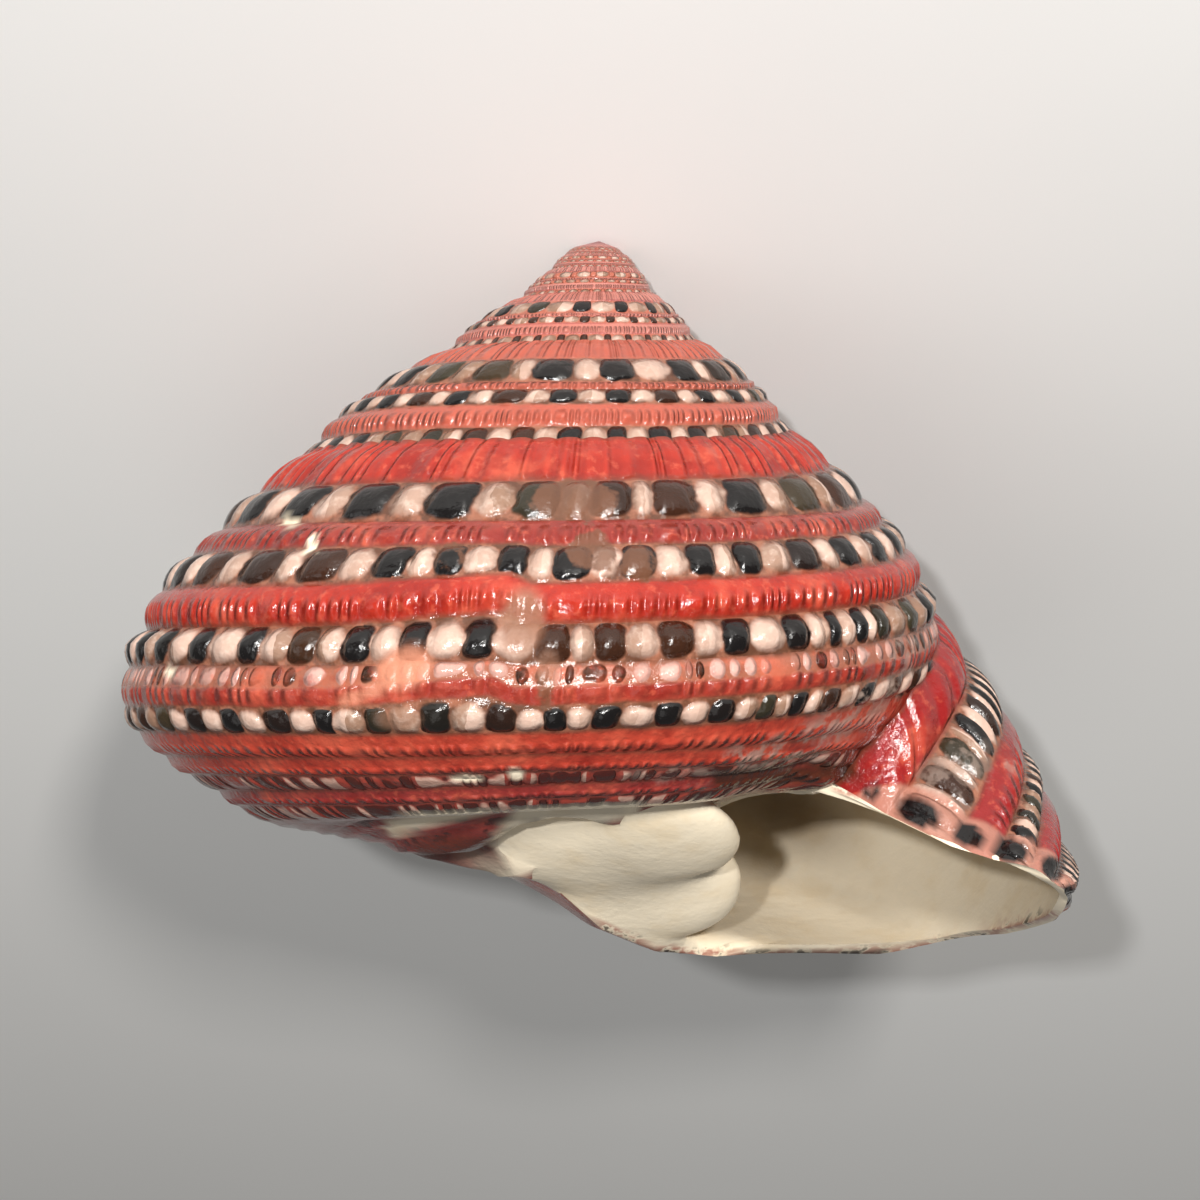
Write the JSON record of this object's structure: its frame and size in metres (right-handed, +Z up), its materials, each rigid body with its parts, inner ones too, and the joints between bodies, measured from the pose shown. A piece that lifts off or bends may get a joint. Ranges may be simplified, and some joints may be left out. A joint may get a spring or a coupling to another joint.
{
  "type": "strawberry top shell",
  "caption": "Small coiled sea-snail shell with beaded spiral cords, a broad low spire and a wide slanting mouth with a rounded tooth, lying on its back.",
  "frame": {"origin": "centre of the bounding box at the surface the shell lies on", "axes": "+Z up, out of the mouth; -Y towards the tip of the spire, which lies low; -X towards the outer lip"},
  "size_m": [0.0202, 0.017, 0.0128],
  "materials": {
    "shell": "coral-red calcium carbonate, polished and slightly moist"
  },
  "bodies": {
    "root": {"shell": "shell"}
  },
  "joints": []
}
